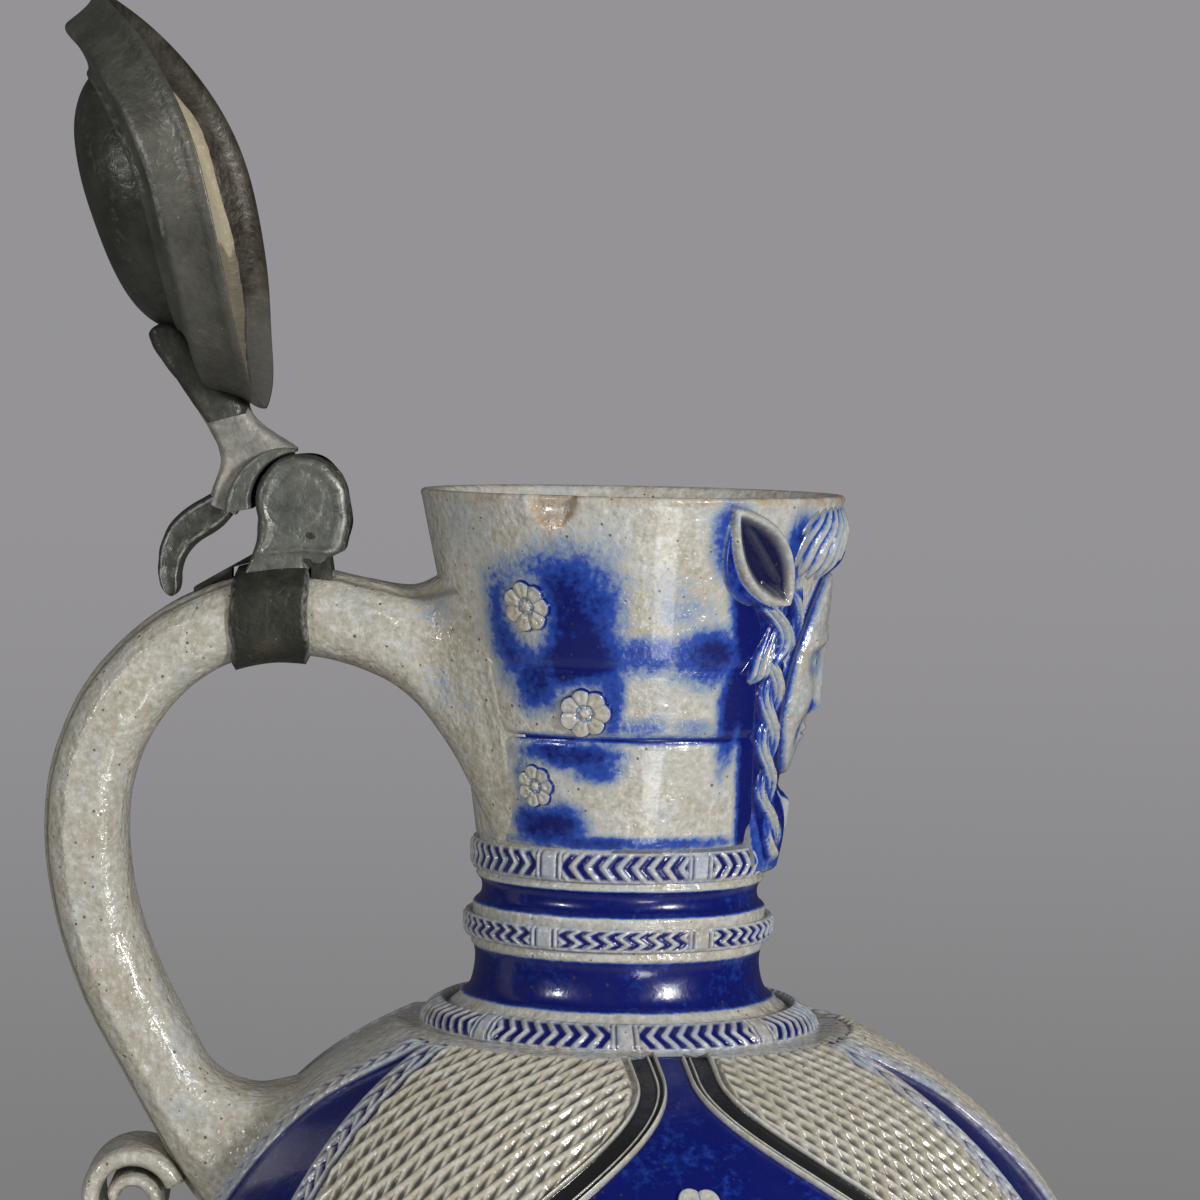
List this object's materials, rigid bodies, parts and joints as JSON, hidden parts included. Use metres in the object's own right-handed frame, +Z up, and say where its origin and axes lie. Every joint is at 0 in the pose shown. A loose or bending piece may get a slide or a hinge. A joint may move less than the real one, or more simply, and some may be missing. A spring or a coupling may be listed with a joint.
{
  "type": "stoneware jug",
  "caption": "Globular salt-glazed stoneware jug with a flaring neck, a relief mask, a strap handle and a hinged metal lid stored open.",
  "frame": {"origin": "centre of the flat underside of the foot", "axes": "+Z up, +X towards the mask on the front of the neck, so the handle is on the -X side and the hinge pin lies along Y"},
  "size_m": [0.2268, 0.2066, 0.3974],
  "materials": {
    "stoneware": "glossy grey-beige salt glaze with fine specks",
    "cobalt_stoneware": "glossy salt glaze over cobalt blue",
    "pewter": "dull dark pewter with a worn satin sheen"
  },
  "bodies": {
    "jug": {"vessel": "stoneware", "handle": "stoneware", "handle_curl": "stoneware", "mask": "cobalt_stoneware", "neck_band_upper": "cobalt_stoneware", "neck_band_lower": "cobalt_stoneware", "collar_band": "cobalt_stoneware", "foot_band": "cobalt_stoneware", "neck_rosette_upper_near": "stoneware", "neck_rosette_middle_near": "stoneware", "neck_rosette_lower_near": "stoneware", "neck_rosette_upper_far": "stoneware", "neck_rosette_middle_far": "stoneware", "neck_rosette_lower_far": "stoneware", "belly_strip_inner_front_near": "cobalt_stoneware", "belly_strip_outer_front_near": "cobalt_stoneware", "belly_strip_inner_back_near": "cobalt_stoneware", "belly_strip_outer_back_near": "cobalt_stoneware", "belly_strip_inner_front_far": "cobalt_stoneware", "belly_strip_outer_front_far": "cobalt_stoneware", "belly_strip_inner_back_far": "cobalt_stoneware", "belly_strip_outer_back_far": "cobalt_stoneware", "arch_band_front_near": "cobalt_stoneware", "arch_band_back_near": "cobalt_stoneware", "arch_band_front_far": "cobalt_stoneware", "arch_band_back_far": "cobalt_stoneware", "belly_rosette_top_near": "stoneware", "belly_rosette_middle_near": "stoneware", "belly_rosette_bottom_near": "stoneware", "belly_rosette_top_far": "stoneware", "belly_rosette_middle_far": "stoneware", "belly_rosette_bottom_far": "stoneware", "trellis_front_near": "stoneware", "trellis_back_near": "stoneware", "trellis_front_far": "stoneware", "trellis_back_far": "stoneware", "trellis_under_mask": "stoneware", "trellis_under_handle": "stoneware", "handle_clasp": "pewter", "hinge_bracket": "pewter", "hinge_pin": "pewter"},
    "lid": {"lid_arm": "pewter", "thumbpiece": "pewter", "lid_flange": "pewter", "lid_dome": "pewter"}
  },
  "joints": [
    {"name": "lid_hinge", "type": "hinge", "parent": "jug", "child": "lid", "pos_m": [-0.071, 0, 0.293], "axis": [0, 1, 0], "range_deg": [0, 99]}
  ]
}
